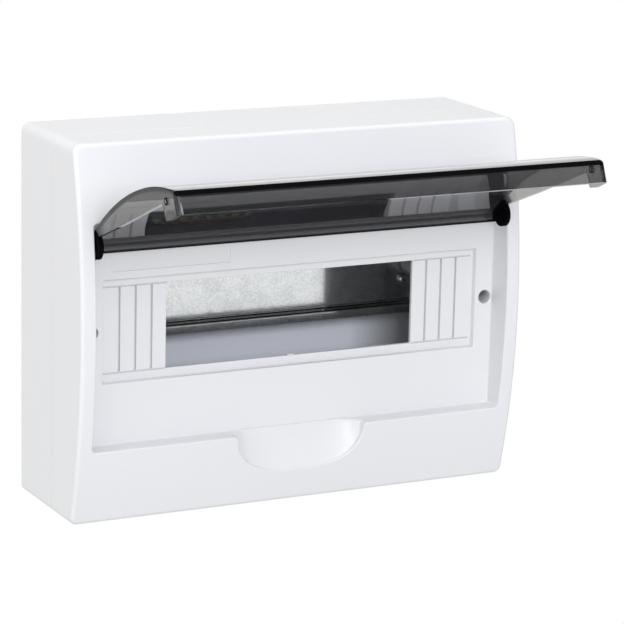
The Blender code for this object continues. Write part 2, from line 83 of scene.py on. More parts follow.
# The recess, its panel, the sunk field and the window.
RECESS = (-119.2, -59.5, 119.2, 59.4)
RECESS_CORNER = 2.0
RECESS_WALL = 2.0
RIM_FILLET = 0.8
FLOOR_FILLET = 0.5
PANEL_Y = -66.8
FIELD = (-109.0, -27.2, 109.0, 27.2)
FIELD_CORNER = 0.9
FIELD_BACK_CORNER = 1.0
FIELD_Y = -63.0
WINDOW = (-72.0, -22.7, 72.0, 22.7)
WINDOW_CORNER = 0.5
STRIP = 9.0
STRIPS = 4
GROOVE_WIDTH = 1.3
GROOVE_DEPTH = 1.1
GROOVE_MARGIN = 1.2
TEAR_WIDTH = 0.8
TEAR_DEPTH = 0.6
TEAR_START = 0.6
TEAR_END = 1.0
LABEL = (-104.0, 31.4, -38.0, 47.0)
LABEL_DEPTH = 0.45
LABEL_SLOPE = 0.25
POCKET_X = 115.0
POCKET_RADIUS = 3.65
POCKET_FLOOR_Y = -45.0
POCKET_WALL = 1.75
POCKET_FILLET = 0.45
COVER_SCREW_HOLE = 2.2

# What is left of a blank at the window's lower edge: its sides, its height and its front and back.
STUB = (-1.5, 2.5, 0.55)
STUB_Y = (0.7, 1.6)
STUB_ROOT = 0.5

# The finger scoop: superellipse outlines that shrink from the rim to the panel.
SCOOP_TOP = -58.0
SCOOP_MIDDLE = 1.4
SCOOP_HALF_WIDTH = 37.1
SCOOP_HEIGHT = 23.7
SCOOP_POWER = 2.6
SCOOP_FLOOR_HALF_WIDTH = 27.0
SCOOP_FLOOR_HEIGHT = 1.0
SCOOP_WIDTH_CURVE = 0.6
SCOOP_HEIGHT_CURVE = 0.9
SCOOP_SMOOTHINGS = 14
SCOOP_RIM_Y = -73.6
SCOOP_SPAN = 46.0

# The thin line across the scoop's top: how far past its floor and above its edge, and its size.
LINE_EXTRA = 4.0
LINE_LIFT = 0.3
LINE_WIDTH = 0.6
LINE_DEPTH = 0.35

# The door, closed, and how far it is turned open. A place on it is (y, z). DOOR_DROP is the height
# below which it curves in more, and by how much at its lower edge. DOOR_FAR is well behind it, well
# below it and well above it.
HINGE = (-78.1, 48.0)
DOOR_OPEN = 115.2
DOOR_HALF_WIDTH = 118.7
DOOR_WALL = 2.0
DOOR_END_WALL = 2.5
DOOR_RADIUS = 159.5
DOOR_CREST = (-91.4, 1.6)
DOOR_DROP = (-30.0, 1.25)
DOOR_TOP_Z = 55.8
DOOR_TOP_BACK = (-76.0, 57.4)
DOOR_BOTTOM_Z = -59.0
DOOR_LIP_Y = PANEL_Y - 0.3
DOOR_LIP_DRAFT = 0.4
DOOR_CORNER = 3.0
DOOR_TOP_CORNER = 0.7
DOOR_EDGE = 0.6
DOOR_LIP_EDGE = 2.2
DOOR_LIP_REACH = 8.0
DOOR_HOLLOW_CORNER = 1.0
DOOR_HOLLOW_EDGE = 0.7
DOOR_CAP_Y = -60.0
DOOR_FAR = (-40.0, -62.0, 66.0)

# The door's free end: the ear around the pin, the slant, and the snap tab with its tip.
EAR_RADIUS = 6.8
EAR_ANGLES = (77, -128)
TOP_WALL_FOOT = 55.0
SLANT = ((-81.2, 40.4), (-79.0, 6.7), (-76.8, -41.0))
TAB_HEEL = ((-74.8, -40.9), 2.0, 195, 255)
TAB_FLAT = (-70.9, -43.4)
TAB_TIP = ((-69.1, -44.9), 1.3, 60, 0)
TAB_FOOT = -48.0

# The pins' radius and length, the reach of their holes past the recess's side walls, and the small
# round nib on each end wall: y, z, radius and height.
PIN = (1.3, 2.2)
PIN_HOLE = (-1, 3)
NIB = (-76.6, -47.2, 1.8, 0.2)
ROUND_STEPS = 24

# The rail. Its slot has a half length and a radius.
RAIL_BACK_Y = -10.0
RAIL_DEPTH = 7.5
RAIL_SHEET = 1.0
RAIL_BEND = 1.2
RAIL_INNER_BEND = 0.6
RAIL_HALF_HEIGHT = 17.5
CHANNEL_HALF_HEIGHT = 13.5
RAIL_HALF_LENGTH = 108.0
RAIL_SCREW_X = 94.75
RAIL_SLOT = (2.0, 2.1)

# The tray's posts, ribs, fixing slots and knock-outs. A post's root is how far above the wall and
# how much wider it is. A hole is its start and its radius, and the cover post's is how far it goes
# below the top and past it, and its radius. A rib is its start from the pocket's axis, its end from
# the side wall's outside and its drop below the post's top.
POST_ROOT = ((0.06, 0.8), (0.3, 0.35), (0.8, 0.0))
POST_FILLET = 0.4
COVER_POST_RADIUS = 3.8
COVER_POST_HOLE = (1.0, 23.0, 2.05)
RAIL_POST_RADIUS = 5.0
RAIL_POST_HOLE = (1.0, 1.9)
HOLDER_POST = (4.0, -8.0)
HOLDER_POST_HOLE = (0.6, 1.6)
RIB = (2.87, 1.128, 6.0)
RIB_Z = (-0.65, 0.63)
FIXING = (100.0, 80.0)
FIXING_PAD = (8.0, -3.9)
FIXING_SLOT = (2.5, 2.5)
KNOCKOUT_X = (-70.0, 0.0, 70.0)
KNOCKOUT_Y = -22.0
KNOCKOUT_RADIUS = 12.5
KNOCKOUT_GROOVE = ((-0.3, 0.15), (1.0, -0.2), (1.0, -0.6), (-0.3, -0.95))
BAR_Z = 66.0
HOLDER_SCREW_X = 36.0

# The screws: shank radius, head radius and head height, and where their tips and seats are.
RAIL_SCREW = (1.6, 3.1, 2.3)
RAIL_SCREW_TIP_Y = -4.4
COVER_SCREW = (1.75, 3.1, 2.4)
COVER_SCREW_TIP_Y = -22.0
HOLDER_SCREW = (1.3, 2.8, 2.0)
HOLDER_SCREW_TIP_Y = -4.0
HOLDER_SEAT_Y = -12.1
CLAMP_SCREWS = 7
CLAMP_PITCH = 8.0
CLAMP_SCREW = (1.6, 2.6)
CLAMP_HEAD_HEIGHT = 2.2
CLAMP_SEAT_Y = -27.4
CLAMP_TIP_Y = -24.1

FAR = 40.0


# ---------------- outlines

def mix(a, b, t):
    return a + (b - a) * t


def arc(centre, radius, start, end, steps):
    """Points on an arc, from one angle to another, in degrees."""
    angles = [radians(mix(start, end, i / steps)) for i in range(steps + 1)]
    return [(centre[0] + radius * cos(a), centre[1] + radius * sin(a)) for a in angles]


def quarter(steps, start=0):
    """The sine and the cosine of even steps over a quarter turn."""
    angles = [pi / 2 * i / steps for i in range(start, steps + 1)]
    return [(sin(a), cos(a)) for a in angles]


def mixed(a, b, t):
    return (mix(a[0], b[0], t), mix(a[1], b[1], t))


def between(first, second, t):
    """An outline between two others that have matching points."""
    return [mixed(a, b, t) for a, b in zip(first, second)]


def straight(start, end, steps):
    """Even points of a straight line, without its ends."""
    return [mixed(start, end, i / steps) for i in range(1, steps)]


def circle(centre, radius, steps=ROUND_STEPS):
    """A closed circle's points."""
    return arc(centre, radius, 0, 360 - 360 / steps, steps - 1)


CORNER_STEPS = 6
SIDE_STEPS = 40
TOP_STEPS = 48
FLANK_STEPS = 14
SCOOP_STEPS = 72


def ring(box, radius, low_radius=None, middle=None):
    """A rounded rectangle, counterclockwise, whose points match those of every other ring.

    middle replaces the part of the bottom side that the scoop takes up.
    """
    left, bottom, right, top = box
    low = radius if low_radius is None else low_radius
    points = straight((right, bottom + low), (right, top - radius), SIDE_STEPS)
    points += arc((right - radius, top - radius), radius, 0, 90, CORNER_STEPS)
    points += straight((right - radius, top), (left + radius, top), TOP_STEPS)
    points += arc((left + radius, top - radius), radius, 90, 180, CORNER_STEPS)
    points += straight((left, top - radius), (left, bottom + low), SIDE_STEPS)
    points += arc((left + low, bottom + low), low, 180, 270, CORNER_STEPS)
    if middle is None:
        span = SCOOP_SPAN * (right - left) / (RECESS[2] - RECESS[0])
        middle = [(mix(-span, span, i / SCOOP_STEPS), bottom) for i in range(SCOOP_STEPS + 1)]
    points += straight((left + low, bottom), (middle[0][0], bottom), FLANK_STEPS)
    points += middle
    points += straight((middle[-1][0], bottom), (right - low, bottom), FLANK_STEPS)
    points += arc((right - low, bottom + low), low, 270, 360, CORNER_STEPS)
    return points


def shrink(box, inset):
    left, bottom, right, top = box
    return (left + inset, bottom + inset, right - inset, top - inset)


def corners(box):
    left, bottom, right, top = box
    return [(left, bottom), (right, bottom), (right, top), (left, top)]


def body_ring(inset):
    """The outline that the tray and the cover share, moved in by an inset."""
    box = shrink((-HALF_WIDTH, BOTTOM, HALF_WIDTH, TOP), inset)
    return ring(box, CORNER - inset, LOW_CORNER - inset)


def front_y(z):
    """Where the front surface is at a height."""
    return FRONT_Y + FRONT_RADIUS - sqrt(FRONT_RADIUS**2 - (z - FRONT_Z) ** 2)


def resample(points, count):
    """The same line with points at even distances along it."""
    lengths = [0.0]
    for a, b in zip(points, points[1:]):
        lengths.append(lengths[-1] + (Vector(b) - Vector(a)).length)
    result = []
    k = 0
    for i in range(count + 1):
        wanted = lengths[-1] * i / count
        while k < len(points) - 2 and lengths[k + 1] < wanted:
            k += 1
        t = (wanted - lengths[k]) / max(lengths[k + 1] - lengths[k], 1e-9)
        result.append(mixed(points[k], points[k + 1], t))
    return result


def scoop_line(level):
    """The recess's bottom edge with the scoop's outline at a level, 0 at the panel, 1 at the rim."""
    width = mix(SCOOP_FLOOR_HALF_WIDTH, SCOOP_HALF_WIDTH, level**SCOOP_WIDTH_CURVE)
    height = mix(SCOOP_FLOOR_HEIGHT, SCOOP_HEIGHT, level**SCOOP_HEIGHT_CURVE)
    bottom = RECESS[1]
    steps = 120
    flat = 30
    line = [(mix(-SCOOP_SPAN, -width, i / flat), bottom) for i in range(flat)]
    for i in range(steps + 1):
        angle = pi * i / steps
        across = abs(cos(angle)) ** (2 / SCOOP_POWER)
        down = max(sin(angle), 0) ** (2 / SCOOP_POWER)
        x = -width * across if angle < pi / 2 else width * across
        line.append((x, min(bottom, SCOOP_TOP - height * down)))
    line += [(mix(width, SCOOP_SPAN, i / flat), bottom) for i in range(1, flat + 1)]
    line = resample(line, 2 * steps)
    for _ in range(SCOOP_SMOOTHINGS):
        inner = [(a[0] / 4 + b[0] / 2 + c[0] / 4, a[1] / 4 + b[1] / 2 + c[1] / 4)
                 for a, b, c in zip(line, line[1:], line[2:])]
        line = [line[0], *inner, line[-1]]
    moved = [(x + SCOOP_MIDDLE * (1 - abs(x) / SCOOP_SPAN), z) for x, z in line]
    return resample(moved, SCOOP_STEPS)


LEVELS = 40
RECESS_RINGS = [
    ring(RECESS, RECESS_CORNER, middle=scoop_line(i / LEVELS)) for i in range(LEVELS + 1)
]


def recess_point(i, y):
    """Point i of the recess's outline at a depth."""
    level = (y - PANEL_Y) / (SCOOP_RIM_Y - PANEL_Y)
    place = min(max(level, 0.0), 1.0) * LEVELS
    k = min(int(place), LEVELS - 1)
    return mixed(RECESS_RINGS[k][i], RECESS_RINGS[k + 1][i], place - k)


def offset(points, distance):
    """A closed outline moved outwards, along the mean normal of the edges at each point."""
    result = []
    count = len(points)
    for i, (x, z) in enumerate(points):
        before, after = points[i - 1], points[(i + 1) % count]
        tangent = Vector((after[0] - before[0], after[1] - before[1])).normalized()
        result.append((x + tangent.y * distance, z - tangent.x * distance))
    return result


# ---------------- mesh tools

def linked(name, data):
    """A new object in the scene."""
    result = bpy.data.objects.new(name, data)
    bpy.context.scene.collection.objects.link(result)
    return result


def as_object(name, bm):
    """An object of a bmesh in metres."""
    mesh = bpy.data.meshes.new(name)
    bm.to_mesh(mesh)
    bm.free()
    return linked(name, mesh)


def scaled_object(name, bm):
    """An object of a bmesh in millimetres."""
    bmesh.ops.recalc_face_normals(bm, faces=bm.faces)
    bmesh.ops.scale(bm, vec=(MM, MM, MM), verts=bm.verts)
    return as_object(name, bm)


def walls(bm, rows):
    """The faces between rows of vertices, each of which goes all the way round."""
    for lower, upper in zip(rows, rows[1:]):
        for i in range(len(lower)):
            j = (i + 1) % len(lower)
            bm.faces.new((lower[i], lower[j], upper[j], upper[i]))


def skin(name, rings, closed=False):
    """A solid through rings of (x, y, z) points, with end caps or with its last ring on its first."""
    bm = bmesh.new()
    rows = [[bm.verts.new(p) for p in points] for points in rings]
    if closed:
        rows.append(rows[0])
    else:
        bm.faces.new(rows[0])
        bm.faces.new(rows[-1])
    walls(bm, rows)
    return scaled_object(name, bm)


def at_y(outline, y):
    return [(x, y, z) for x, z in outline]


def prism(axis, outline, start, end):
    """An outline pushed along X or Y."""
    if axis == "Y":
        return skin("tool", [at_y(outline, y) for y in (start, end)])
    return skin("tool", [[(x, a, b) for a, b in outline] for x in (start, end)])


def block(x0, x1, y0, y1, z0, z1):
    return prism("Y", corners((x0, z0, x1, z1)), y0, y1)


def turned(x, z, profile, sides=32):
    """A solid of revolution about a line along Y, from (y, radius) pairs."""
    return skin("tool", [at_y(circle((x, z), radius, sides), y) for y, radius in profile])


def fillet(y, radius, size, steps, flare):
    """(y, radius) pairs that round a turned edge at y; flare widens it towards -Y."""
    way = 1 if flare else -1
    return [(y + size * (1 - up), radius + way * size * (1 - out)) for up, out in quarter(steps)]


def merge(objects):
    """Several closed solids as one object, for a single Boolean."""
    bm = bmesh.new()
    for item in objects:
        bm.from_mesh(item.data)
        bpy.data.objects.remove(item)
    return as_object("tool", bm)


def apply_modifiers(target):
    graph = bpy.context.evaluated_depsgraph_get()
    mesh = bpy.data.meshes.new_from_object(target.evaluated_get(graph))
    target.modifiers.clear()
    target.data = mesh


def boolean(target, operation, tools):
    """One exact Boolean with all the tools together."""
    tool = merge(tools)
    modifier = target.modifiers.new("boolean", "BOOLEAN")
    modifier.operation = operation
    modifier.object = tool
    apply_modifiers(target)
    bpy.data.objects.remove(tool)


def shade(target, angle=35):
    """Smooth shading with normals that follow the large faces."""
    target.data.shade_smooth()
    target.data.set_sharp_from_angle(angle=radians(angle))
    modifier = target.modifiers.new("normals", "WEIGHTED_NORMAL")
    modifier.keep_sharp = True
    apply_modifiers(target)


def finish_piece(piece, name, material, slot, body, *nodes):
    """Names a piece, gives it its material and puts it in the place of its CAD nodes."""
    piece.name = name
    piece.data.name = name
    piece.data.materials.clear()
    piece.data.materials.append(material)
    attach(piece, body)
    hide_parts(*nodes)
    return piece


# ---------------- front cover

def on_front(outline, lift=0.0):
    """An outline's points at the front surface, or at a distance behind it."""
    return [(x, front_y(z) + lift, z) for x, z in outline]


def cover_outside():
    """The rings from the seam over the walls and the curved front to the recess's rim."""
    start = SEAM_Y - SEAM_LINE
    rings = [at_y(body_ring(SEAM_EDGE), start), at_y(body_ring(0), start - SEAM_EDGE)]
    for up, out in quarter(6):
        rings.append(on_front(body_ring(FRONT_FILLET * (1 - out)), FRONT_FILLET * (1 - up)))
    rim = offset(RECESS_RINGS[LEVELS], RIM_FILLET)
    edge_ring = body_ring(FRONT_FILLET)
    steps = 10
    for i in range(1, steps):
        rings.append(on_front(between(edge_ring, rim, i / steps)))
    return rings


def recess_rings():
    """The rings over the recess's rim, down its walls and scoop, and to the panel."""
    rings = []
    rim = RECESS_RINGS[LEVELS]
    for up, out in quarter(4):
        rings.append(on_front(offset(rim, RIM_FILLET * (1 - up)), RIM_FILLET * (1 - out)))
    start = [front_y(z) + RIM_FILLET for _, z in rim]
    end = PANEL_Y - FLOOR_FILLET
    steps = 14
    for k in range(1, steps + 1):
        rings.append(deep_ring([mix(y, end, k / steps) for y in start], 0))
    for up, out in quarter(3, 1):
        y = PANEL_Y - FLOOR_FILLET * (1 - up)
        rings.append(deep_ring([y] * len(rim), -FLOOR_FILLET * (1 - out)))
    return rings


def deep_ring(depths, distance):
    """The recess's outline with its own depth at each point, moved outwards by a distance."""
    outline = [recess_point(i, y) for i, y in enumerate(depths)]
    return [(x, y, z) for (x, z), y in zip(offset(outline, distance), depths)]


def step_rings(box, corner, top_y, floor_y, rim=0.4, root=0.3):
    """The rings over the rounded rim of a sunk rectangle and down to its floor."""
    rings = []
    for up, out in quarter(3):
        reach = rim * (1 - up)
        rings.append(at_y(ring(shrink(box, -reach), corner + reach), top_y + rim * (1 - out)))
    if root:
        for up, out in quarter(2):
            inset = root * (1 - out)
            rings.append(at_y(ring(shrink(box, inset), corner - inset), floor_y - root * (1 - up)))
    return rings


def cover_inside():
    """The rings of the inner side, from the window back out to the seam."""
    inner_field = shrink(FIELD, -RECESS_WALL)
    window_back = FIELD_Y + RECESS_WALL
    rings = [at_y(ring(WINDOW, WINDOW_CORNER), window_back)]
    rings.append(at_y(ring(inner_field, FIELD_BACK_CORNER), window_back))
    rings.append(at_y(ring(inner_field, FIELD_BACK_CORNER), PANEL_Y + RECESS_WALL))
    rim = RECESS_RINGS[LEVELS]
    end = [front_y(z) + WALL for x, z in rim]
    start = PANEL_Y + RECESS_WALL
    steps = 6
    for k in range(steps + 1):
        depths = [mix(start, y, k / steps) for y in end]
        outline = [recess_point(i, y - RECESS_WALL) for i, y in enumerate(depths)]
        rings.append([(x, y, z) for (x, z), y in zip(offset(outline, RECESS_WALL), depths)])
    inner = body_ring(WALL)
    last = [(x, z) for x, y, z in rings[-1]]
    steps = 4
    for k in range(1, steps + 1):
        rings.append(on_front(between(last, inner, k / steps), WALL))
    rebate_y = SEAM_Y - LIP_LENGTH - SEAM_GAP
    rings.append(at_y(inner, rebate_y))
    rings.append(at_y(body_ring(LIP_INSET - SEAM_GAP), rebate_y))
    rings.append(at_y(body_ring(LIP_INSET - SEAM_GAP), SEAM_Y - SEAM_LINE))
    return rings


def pocket_cutter(side):
    """A screw's pocket with a rounded mouth, and the hole in its floor."""
    x = side * POCKET_X
    mouth = fillet(PANEL_Y, POCKET_RADIUS, POCKET_FILLET, 4, True)
    profile = [(0, COVER_SCREW_HOLE), (POCKET_FLOOR_Y, COVER_SCREW_HOLE),
               (POCKET_FLOOR_Y, POCKET_RADIUS), *mouth, (PANEL_Y - 1, mouth[-1][1])]
    return turned(x, 0, profile)


def groove_cutter(x0, x1, z0, z1, width, depth, floor_y=FIELD_Y):
    """A V-sided groove in a flat floor, between two points on one axis."""
    above = 0.2
    flare = width / 2 * 1.25
    bottom = width / 2 * 0.55
    low = corners(shrink((x0, z0, x1, z1), -bottom))
    high = corners(shrink((x0, z0, x1, z1), -flare))
    return skin("tool", [at_y(low, floor_y + depth), at_y(high, floor_y - above)])


def strip_cutters(side):
    """The grooves between the break-off strips, and the tear lines at their ends."""
    start = WINDOW[2]
    low = WINDOW[1] + GROOVE_MARGIN
    high = WINDOW[3] - GROOVE_MARGIN
    cutters = []
    for i in range(1, STRIPS):
        x = side * (start + i * STRIP - GROOVE_WIDTH / 2)
        cutters.append(groove_cutter(x, x, low, high, GROOVE_WIDTH, GROOVE_DEPTH))
    reach = start + STRIPS * STRIP - TEAR_END
    left, right = sorted((side * (start + TEAR_START), side * reach))
    for end in (-1, 1):
        z = end * WINDOW[3]
        cutters.append(groove_cutter(left, right, z, z, TEAR_WIDTH, TEAR_DEPTH))
    return cutters


def label_cutter():
    """The empty frame for a label, with sloping sides."""
    above = 0.05
    floor = at_y(corners(LABEL), PANEL_Y + LABEL_DEPTH)
    mouth = at_y(corners(shrink(LABEL, -LABEL_SLOPE)), PANEL_Y - above)
    return skin("tool", [floor, mouth])


def scoop_line_cutter():
    """The thin line between the panel and the scoop."""
    reach = SCOOP_FLOOR_HALF_WIDTH + LINE_EXTRA
    z = RECESS[1] + LINE_LIFT
    return groove_cutter(
        SCOOP_MIDDLE - reach, SCOOP_MIDDLE + reach, z, z, LINE_WIDTH, LINE_DEPTH, PANEL_Y)


def stub():
    """What is left of a broken-off blank at the window's lower edge."""
    left, right, height = STUB
    front, back = (FIELD_Y + depth for depth in STUB_Y)
    return block(left, right, front, back, WINDOW[1] - STUB_ROOT, WINDOW[1] + height)


def pin_hole(side):
    """The cutter of a hinge pin's hole in the recess's side wall."""
    start, end = (side * (RECESS[2] + reach) for reach in PIN_HOLE)
    return prism("X", circle(HINGE, PIN[0] + SEAM_GAP), start, end)


def front_cover(material):
    """The box's front half."""
    rings = cover_outside() + recess_rings()
    rings += step_rings(FIELD, FIELD_CORNER, PANEL_Y, FIELD_Y)
    rings += step_rings(WINDOW, WINDOW_CORNER, FIELD_Y, FIELD_Y, root=0)
    rings += cover_inside()
    cover = skin("front_cover_shell", rings, closed=True)
    added = []
    for side in (-1, 1):
        tube = [(POCKET_FLOOR_Y + RECESS_WALL, POCKET_RADIUS + POCKET_WALL),
                (PANEL_Y + RECESS_WALL / 2, POCKET_RADIUS + POCKET_WALL)]
        added.append(turned(side * POCKET_X, 0, tube))
    added.append(stub())
    boolean(cover, "UNION", added)
    cutters = []
    for side in (-1, 1):
        cutters.append(pocket_cutter(side))
        cutters += strip_cutters(side)
        cutters.append(pin_hole(side))
    cutters.append(label_cutter())
    cutters.append(scoop_line_cutter())
    boolean(cover, "DIFFERENCE", cutters)
    shade(cover)
    return finish_piece(
        cover, "front_cover_shell", material, "white_plastic", "box", "front_cover")


# ---------------- rear tray

def tray_shell():
    """The back wall and the side walls, with the lip that the cover slides over."""
    rings = []
    for up, out in quarter(4):
        rings.append(at_y(body_ring(BACK_FILLET * (1 - up)), -BACK_FILLET * (1 - out)))
    for inset, y in (
        (0, SEAM_Y + SEAM_EDGE),
        (SEAM_EDGE, SEAM_Y),
        (LIP_INSET, SEAM_Y),
        (LIP_INSET, SEAM_Y - LIP_LENGTH),
        (WALL, SEAM_Y - LIP_LENGTH),
    ):
        rings.append(at_y(body_ring(inset), y))
    for up, out in quarter(4):
        inset = WALL + WALL_ROOT * (1 - out)
        rings.append(at_y(body_ring(inset), -WALL - WALL_ROOT * (1 - up)))
    return skin("rear_tray_shell", rings)


def post(x, z, radius, top):
    """A post on the back wall with a rounded root and a rounded top."""
    root = [(-WALL - height, radius + extra) for height, extra in POST_ROOT]
    start = (-WALL / 2, root[0][1])
    return turned(x, z, [start, *root, *fillet(top, radius, POST_FILLET, 3, False)])


def slot_outline(x, z, half_length, radius):
    steps = 12
    points = arc((x, z + half_length), radius, 0, 180, steps)
    return points + arc((x, z - half_length), radius, 180, 360, steps)


def cover_post(side, top):
    """The post that takes a cover screw, and its hole."""
    x = side * POCKET_X
    below, above, radius = COVER_POST_HOLE
    hole = turned(x, 0, [(top + above, radius), (top - below, radius)], ROUND_STEPS)
    return post(x, 0, COVER_POST_RADIUS, top), hole


def wall_post(x, z, radius, top, hole):
    """A post with a hole that stops short of the back wall."""
    depth, hole_radius = hole
    cutter = turned(x, z, [(-WALL - depth, hole_radius), (-FAR, hole_radius)], ROUND_STEPS)
    return post(x, z, radius, top), cutter


def fixing_slot(x, z):
    """A raised pad on the back wall, and the slot for a wall screw."""
    radius, top = FIXING_PAD
    pad = turned(x, z, [(-WALL / 2, radius), *fillet(top, radius, POST_FILLET, 3, False)], 48)
    return pad, prism("Y", slot_outline(x, z, *FIXING_SLOT), 1, -FAR / 2)


def post_rib(side, post_top):
    """The rib from a cover post to the side wall."""
    start, inset, drop = RIB
    left, right = sorted((side * (POCKET_X + start), side * (HALF_WIDTH - inset)))
    return block(left, right, -WALL / 2, post_top + drop, *RIB_Z)


def rear_tray(material):
    """The box's back half."""
    tray = tray_shell()
    post_top = POCKET_FLOOR_Y + RECESS_WALL + SEAM_GAP
    pairs = []
    for side in (-1, 1):
        pairs.append(cover_post(side, post_top))
        pairs.append(wall_post(
            side * RAIL_SCREW_X, 0, RAIL_POST_RADIUS, RAIL_BACK_Y + SEAM_GAP, RAIL_POST_HOLE))
        for end in (-1, 1):
            pairs.append(wall_post(
                side * HOLDER_SCREW_X, end * BAR_Z, *HOLDER_POST, HOLDER_POST_HOLE))
            pairs.append(fixing_slot(side * FIXING[0], end * FIXING[1]))
    boolean(tray, "UNION", [added for added, hole in pairs])
    boolean(tray, "UNION", [post_rib(side, post_top) for side in (-1, 1)])
    holes = [hole for added, hole in pairs] + [knockout_ring(x) for x in KNOCKOUT_X]
    boolean(tray, "DIFFERENCE", holes)
    shade(tray)
    return finish_piece(tray, "rear_tray_shell", material, "white_plastic", "box", "rear_tray")


def knockout_ring(x):
    """A V-shaped ring groove in the bottom wall."""
    rings = []
    for dz, dr in KNOCKOUT_GROOVE:
        outline = circle((x, KNOCKOUT_Y), KNOCKOUT_RADIUS + dr, 48)
        rings.append([(a, b, BOTTOM + dz) for a, b in outline])
    return skin("tool", rings, closed=True)


# ---------------- door

def door_y(z, inset=0):
    """Where the closed door's curved surface is at a height; it curves in more near its lip."""
    radius = DOOR_RADIUS - inset
    start, depth = DOOR_DROP
    drop = depth * (max(start - z, 0) / (start - DOOR_BOTTOM_Z)) ** 2
    return DOOR_CREST[0] + DOOR_RADIUS - sqrt(radius**2 - (z - DOOR_CREST[1]) ** 2) + drop


def door_rings(wall, end_wall, corner, edge, lip_edge):
    """Rings of the closed door's outer skin, or of its hollow when there are walls to leave.

    They run from a flat cap behind the free edges, up the walls and over the rounded edge.
    """
    box = (-DOOR_HALF_WIDTH + end_wall, DOOR_BOTTOM_Z + wall, DOOR_HALF_WIDTH - end_wall,
           DOOR_TOP_Z - wall)
    top_slope = (DOOR_TOP_BACK[1] - DOOR_TOP_Z) / (DOOR_TOP_BACK[0] - door_y(DOOR_TOP_Z))
    low_slope = DOOR_LIP_DRAFT / (DOOR_LIP_Y - door_y(DOOR_BOTTOM_Z))
    start = (box[0], box[1] + low_slope * (DOOR_CAP_Y - door_y(DOOR_BOTTOM_Z)), box[2],
             box[3] + top_slope * (DOOR_CAP_Y - door_y(DOOR_TOP_Z)))
    rings = [at_y(ring(start, DOOR_TOP_CORNER, corner), DOOR_CAP_Y)]
    outline = ring(box, DOOR_TOP_CORNER, corner)
    least = 0.2
    inner = ring(shrink(box, lip_edge), least, max(corner - lip_edge, least))
    for up, out in quarter(6):
        points = []
        for (x0, z0), (x1, z1) in zip(outline, inner):
            low = min(max((box[1] + DOOR_LIP_REACH - z0) / DOOR_LIP_REACH, 0), 1)
            size = mix(edge, lip_edge, low)
            t = size * (1 - out) / lip_edge
            x, z = mixed((x0, z0), (x1, z1), t)
            points.append((x, door_y(z, wall) + size * (1 - up), z))
        rings.append(points)
    return rings


def door_edge():
    """The line of the free edges: the top wall, the ear, the slant, the tab and the lip."""
    back_y = DOOR_TOP_BACK[0]
    _, lowest, highest = DOOR_FAR
    ear = arc(HINGE, EAR_RADIUS, *EAR_ANGLES, 30)
    tab = arc(*TAB_HEEL, 4)[1:] + [TAB_FLAT]
    tab += arc(*TAB_TIP, 3)
    return [(back_y, highest), (back_y, TOP_WALL_FOOT), *ear, *SLANT, *tab,
            (DOOR_LIP_Y, TAB_FOOT), (DOOR_LIP_Y, lowest)]


def bridged(name, rings):
    """A skin whose last ring is closed by strips from its left side to its right side."""
    bm = bmesh.new()
    rows = [[bm.verts.new(p) for p in points] for points in rings]
    bm.faces.new(rows[0])
    walls(bm, rows)
    last = rows[-1]
    right = list(range(SIDE_STEPS - 1))
    first_left = SIDE_STEPS - 1 + 2 * (CORNER_STEPS + 1) + TOP_STEPS - 1
    left = list(range(first_left, first_left + SIDE_STEPS - 1))
    left.reverse()
    for k in range(SIDE_STEPS - 2):
        bm.faces.new((last[right[k]], last[right[k + 1]], last[left[k + 1]], last[left[k]]))
    bm.faces.new(last[right[-1]:left[-1] + 1])
    bm.faces.new(last[left[0]:] + [last[0]])
    return scaled_object(name, bm)


def end_knob(place, radius, side, height):
    """A round knob that stands on an end wall of the door."""
    overlap = 1
    start, end = (side * (DOOR_HALF_WIDTH + reach) for reach in (-overlap, height))
    return prism("X", circle(place, radius), start, end)


def door(material):
    """The smoked door as one closed shell, built closed and then turned open."""
    outside = door_rings(0, 0, DOOR_CORNER, DOOR_EDGE, DOOR_LIP_EDGE)
    inside = door_rings(
        DOOR_WALL, DOOR_END_WALL, DOOR_HOLLOW_CORNER, DOOR_HOLLOW_EDGE, DOOR_HOLLOW_EDGE)
    shell = bridged("door_shell", outside)
    boolean(shell, "DIFFERENCE", [bridged("hollow", inside)])
    back, lowest, highest = DOOR_FAR
    behind = [*door_edge(), (back, lowest), (back, highest)]
    reach = DOOR_HALF_WIDTH + 5
    boolean(shell, "DIFFERENCE", [prism("X", behind, -reach, reach)])
    knobs = []
    for side in (-1, 1):
        knobs.append(end_knob(HINGE, PIN[0], side, PIN[1]))
        knobs.append(end_knob(NIB[:2], NIB[2], side, NIB[3]))
    boolean(shell, "UNION", knobs)
    hinge = Vector((0, HINGE[0] * MM, HINGE[1] * MM))
    turn = Matrix.Rotation(radians(-DOOR_OPEN), 4, "X")
    shell.data.transform(Matrix.Translation(hinge) @ turn @ Matrix.Translation(-hinge))
    shade(shell, 30)
    return finish_piece(shell, "door_shell", material, "smoked_plastic", "door", "door")


# ---------------- rail and screws

def rail_section():
    """The top-hat section with bent corners, counterclockwise from the upper flange's front."""
    front = RAIL_BACK_Y - RAIL_DEPTH
    outer = RAIL_BEND
    inner = RAIL_INNER_BEND
    sheet = RAIL_SHEET
    top = RAIL_HALF_HEIGHT
    web = CHANNEL_HALF_HEIGHT
    back = [(front, top), (front + sheet, top)]
    back += arc((front + sheet + inner, web + inner), inner, 180, 270, 4)
    back += arc((RAIL_BACK_Y - outer, web - outer), outer, 90, 0, 4)
    face = arc((RAIL_BACK_Y - sheet - inner, web - sheet - inner), inner, 0, 90, 4)
    face += arc((front + outer, web - sheet + outer), outer, 270, 180, 4)
    lower = [(y, -z) for y, z in reversed(back)]
    lower_face = [(y, -z) for y, z in reversed(face)]
    return back + lower + lower_face + face


